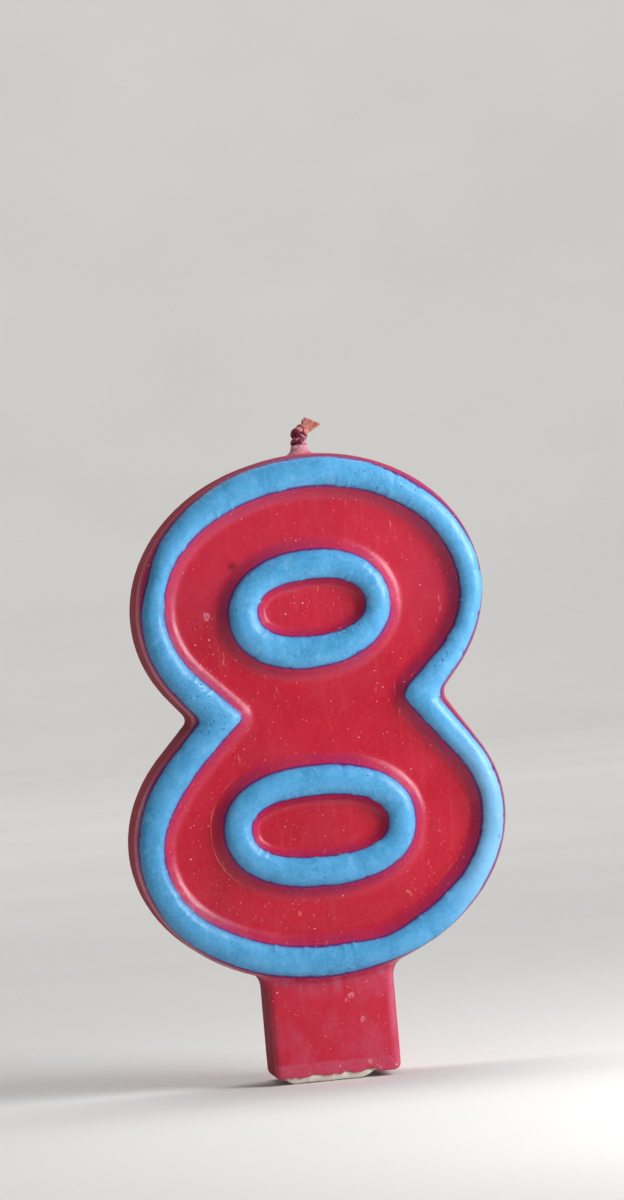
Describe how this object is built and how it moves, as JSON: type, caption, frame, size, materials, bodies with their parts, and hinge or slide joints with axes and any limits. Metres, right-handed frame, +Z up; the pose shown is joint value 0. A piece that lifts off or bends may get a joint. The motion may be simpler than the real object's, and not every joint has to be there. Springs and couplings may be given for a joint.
{
  "type": "number birthday candle",
  "caption": "Flat wax numeral candle, a figure eight on a plain stub, with a dipped red skin, raised blue beads on its outline and rings, and a braided wick.",
  "frame": {"origin": "middle of the stub's bottom end, on the surface that the candle stands on", "axes": "+Z up the candle to the wick, -Y out of the decorated front face, +X to the right as the front is seen"},
  "size_m": [0.0464, 0.012, 0.0818],
  "materials": {
    "core_wax": "matte, undyed paraffin wax",
    "red_wax": "satin, dyed paraffin wax with a faint pale bloom",
    "blue_wax": "satin, opaque wax with small pinholes",
    "wick_cotton": "braided cotton soaked in red wax"
  },
  "bodies": {
    "root": {"wax_core": "core_wax", "red_overdip": "red_wax", "outline_bead": "blue_wax", "upper_ring_bead": "blue_wax", "lower_ring_bead": "blue_wax", "wick_strand_1": "wick_cotton", "wick_strand_2": "wick_cotton", "wick_strand_3": "wick_cotton"}
  },
  "joints": []
}
